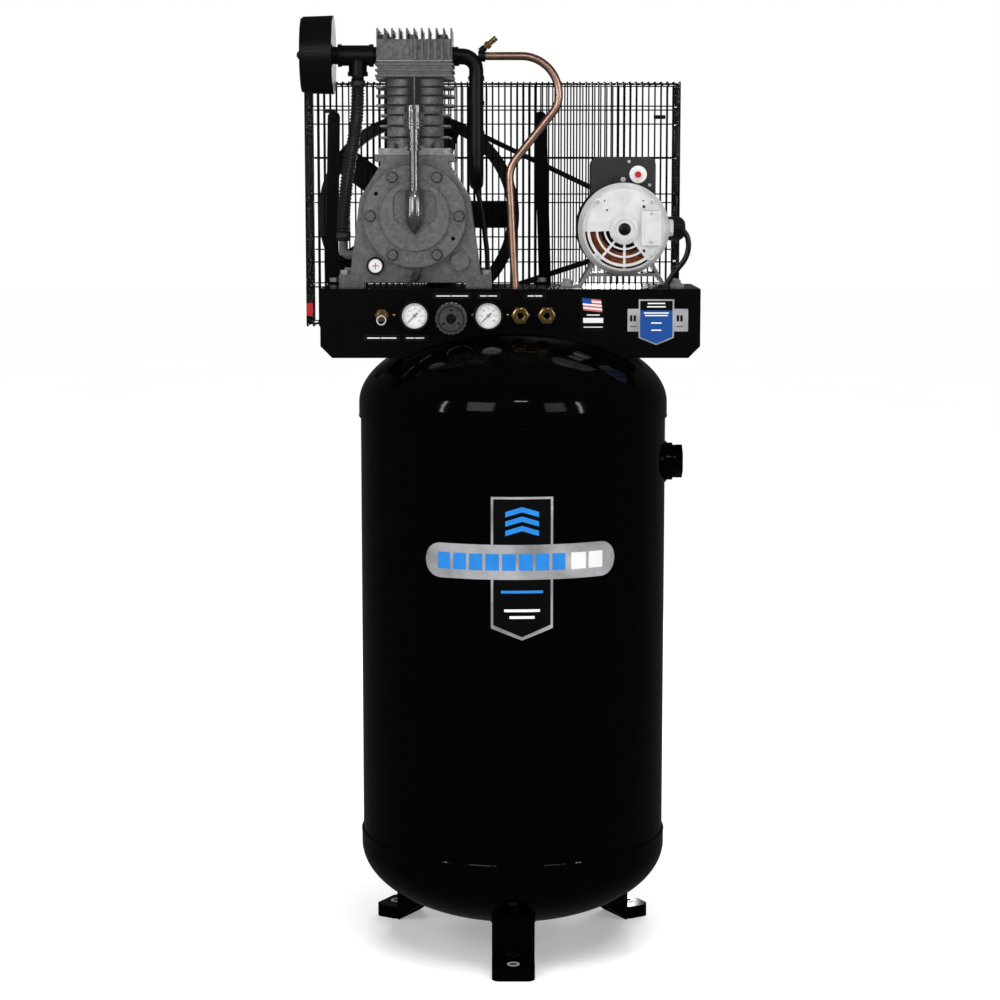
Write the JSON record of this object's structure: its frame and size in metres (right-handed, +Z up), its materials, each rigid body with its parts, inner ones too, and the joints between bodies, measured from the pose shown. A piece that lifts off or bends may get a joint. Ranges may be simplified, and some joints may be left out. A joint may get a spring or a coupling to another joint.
{
  "type": "vertical tank air compressor",
  "caption": "Upright air receiver on feet with a deck on top that carries a belt-driven two-stage pump, its motor, a wire belt guard and a panel of air controls.",
  "frame": {"origin": "centre of the tank's three foot bolt holes, at floor level on the tank's axis", "axes": "+Z up along the tank's axis; the control panel faces -Y; +X to the right seen from the panel"},
  "size_m": [0.7905, 0.655, 1.8615],
  "materials": {
    "tank_black": "gloss",
    "deck_black": "gloss",
    "cast_grey": "satin",
    "head_grey": "satin",
    "zinc_steel": "satin",
    "dark_steel": "satin",
    "piston_alloy": "satin",
    "sight_white": "gloss",
    "brass": "gloss",
    "copper": "satin",
    "belt_rubber": "matte",
    "hose_rubber": "satin",
    "motor_black": "satin",
    "bell_white": "satin",
    "winding": "satin",
    "cover_grey": "satin",
    "button_red": "gloss",
    "filter_black": "gloss",
    "gauge_black": "gloss",
    "needle_black": "matte",
    "knob_black": "satin",
    "switch_black": "matte",
    "wire_black": "gloss",
    "manifold_grey": "satin"
  },
  "bodies": {
    "frame": {"tank_shell": "tank_black", "tank_top_head": "tank_black", "tank_bottom_head": "tank_black", "tank_feet": "tank_black", "side_port_plug": "tank_black", "tank_drain_valve": "brass", "deck_platform": "deck_black", "deck_brackets": "deck_black", "deck_bolts": "zinc_steel", "crankcase": "cast_grey", "bearing_cover": "cast_grey", "main_bearings": "zinc_steel", "cylinder_block": "cast_grey", "valve_plate": "cast_grey", "cylinder_head": "head_grey", "pump_bolts": "dark_steel", "sight_glass": "sight_white", "oil_drain_plug": "dark_steel", "breather": "dark_steel", "drive_belts": "belt_rubber", "intake_tee": "dark_steel", "intake_filter": "filter_black", "breather_hose": "hose_rubber", "intercooler_pipe": "dark_steel", "interstage_valve": "brass", "discharge_tube": "copper", "check_valve": "brass", "motor_frame": "motor_black", "motor_front_bell": "bell_white", "motor_rear_bell": "bell_white", "motor_stator": "winding", "motor_base": "zinc_steel", "capacitor_cover": "cover_grey", "terminal_cover": "bell_white", "cable_gland": "switch_black", "motor_cable": "hose_rubber", "air_manifold": "manifold_grey", "safety_valve_body": "brass", "gauge_cases": "gauge_black", "air_outlets": "brass", "pressure_switch": "switch_black", "guard_front_half": "wire_black", "guard_rear_half": "wire_black", "guard_posts": "deck_black"},
    "crank": {"crankshaft": "dark_steel", "flywheel": "cast_grey"},
    "low_plug": {"low_pressure_web_plug": "dark_steel"},
    "high_plug": {"high_pressure_web_plug": "dark_steel"},
    "low_piston": {"low_pressure_piston": "piston_alloy", "low_pressure_rod": "piston_alloy"},
    "high_piston": {"high_pressure_piston": "piston_alloy", "high_pressure_rod": "piston_alloy"},
    "motor_shaft": {"motor_rotor": "dark_steel", "motor_pulley": "cast_grey"},
    "knob": {"regulator_knob": "knob_black"},
    "tank_needle": {"tank_gauge_needle": "needle_black"},
    "outlet_needle": {"outlet_gauge_needle": "needle_black"},
    "reset": {"reset_button": "button_red"},
    "safety_ring": {"safety_valve_ring": "zinc_steel"},
    "drain_handle": {"tank_drain_handle": "zinc_steel"}
  },
  "joints": [
    {"name": "crank_spin", "type": "hinge", "parent": "frame", "child": "crank", "pos_m": [-0.193, 0.1, 1.471], "axis": [0, 1, 0], "continuous": true},
    {"name": "motor_spin", "type": "hinge", "parent": "frame", "child": "motor_shaft", "pos_m": [0.217, 0, 1.446], "axis": [0, 1, 0], "continuous": true},
    {"name": "low_plug_turn", "type": "hinge", "parent": "crank", "child": "low_plug", "pos_m": [-0.193, -0.0165, 1.453], "axis": [0, 1, 0], "continuous": true},
    {"name": "high_plug_turn", "type": "hinge", "parent": "crank", "child": "high_plug", "pos_m": [-0.193, 0.0945, 1.489], "axis": [0, 1, 0], "continuous": true},
    {"name": "low_piston_travel", "type": "hinge", "parent": "low_plug", "child": "low_piston", "pos_m": [-0.193, -0.004, 1.435], "axis": [0, 1, 0], "continuous": true},
    {"name": "high_piston_travel", "type": "hinge", "parent": "high_plug", "child": "high_piston", "pos_m": [-0.193, 0.082, 1.507], "axis": [0, 1, 0], "continuous": true},
    {"name": "regulator_turn", "type": "hinge", "parent": "frame", "child": "knob", "pos_m": [-0.1205, -0.125, 1.275], "axis": [0, 1, 0], "range_deg": [0, 300]},
    {"name": "tank_needle_turn", "type": "hinge", "parent": "frame", "child": "tank_needle", "pos_m": [-0.1916, -0.143, 1.28], "axis": [0, 1, 0], "range_deg": [0, 270]},
    {"name": "outlet_needle_turn", "type": "hinge", "parent": "frame", "child": "outlet_needle", "pos_m": [-0.0486, -0.143, 1.28], "axis": [0, 1, 0], "range_deg": [0, 270]},
    {"name": "reset_press", "type": "slide", "parent": "frame", "child": "reset", "axis": [0, 1, 0], "range_m": [0, 0.004], "stiffness_N_per_m": 200},
    {"name": "safety_pull", "type": "slide", "parent": "frame", "child": "safety_ring", "axis": [0, -1, 0], "range_m": [0, 0.006], "stiffness_N_per_m": 400},
    {"name": "drain_turn", "type": "hinge", "parent": "frame", "child": "drain_handle", "pos_m": [0, 0, 0.016], "axis": [0, 0, 1], "range_deg": [0, 90]}
  ],
  "couplings": [
    {"joint": "motor_spin", "follows": "crank_spin", "ratio": 4.1379},
    {"joint": "low_plug_turn", "follows": "crank_spin", "ratio": -2},
    {"joint": "high_plug_turn", "follows": "crank_spin", "ratio": -2},
    {"joint": "low_piston_travel", "follows": "crank_spin", "ratio": 1},
    {"joint": "high_piston_travel", "follows": "crank_spin", "ratio": 1}
  ]
}
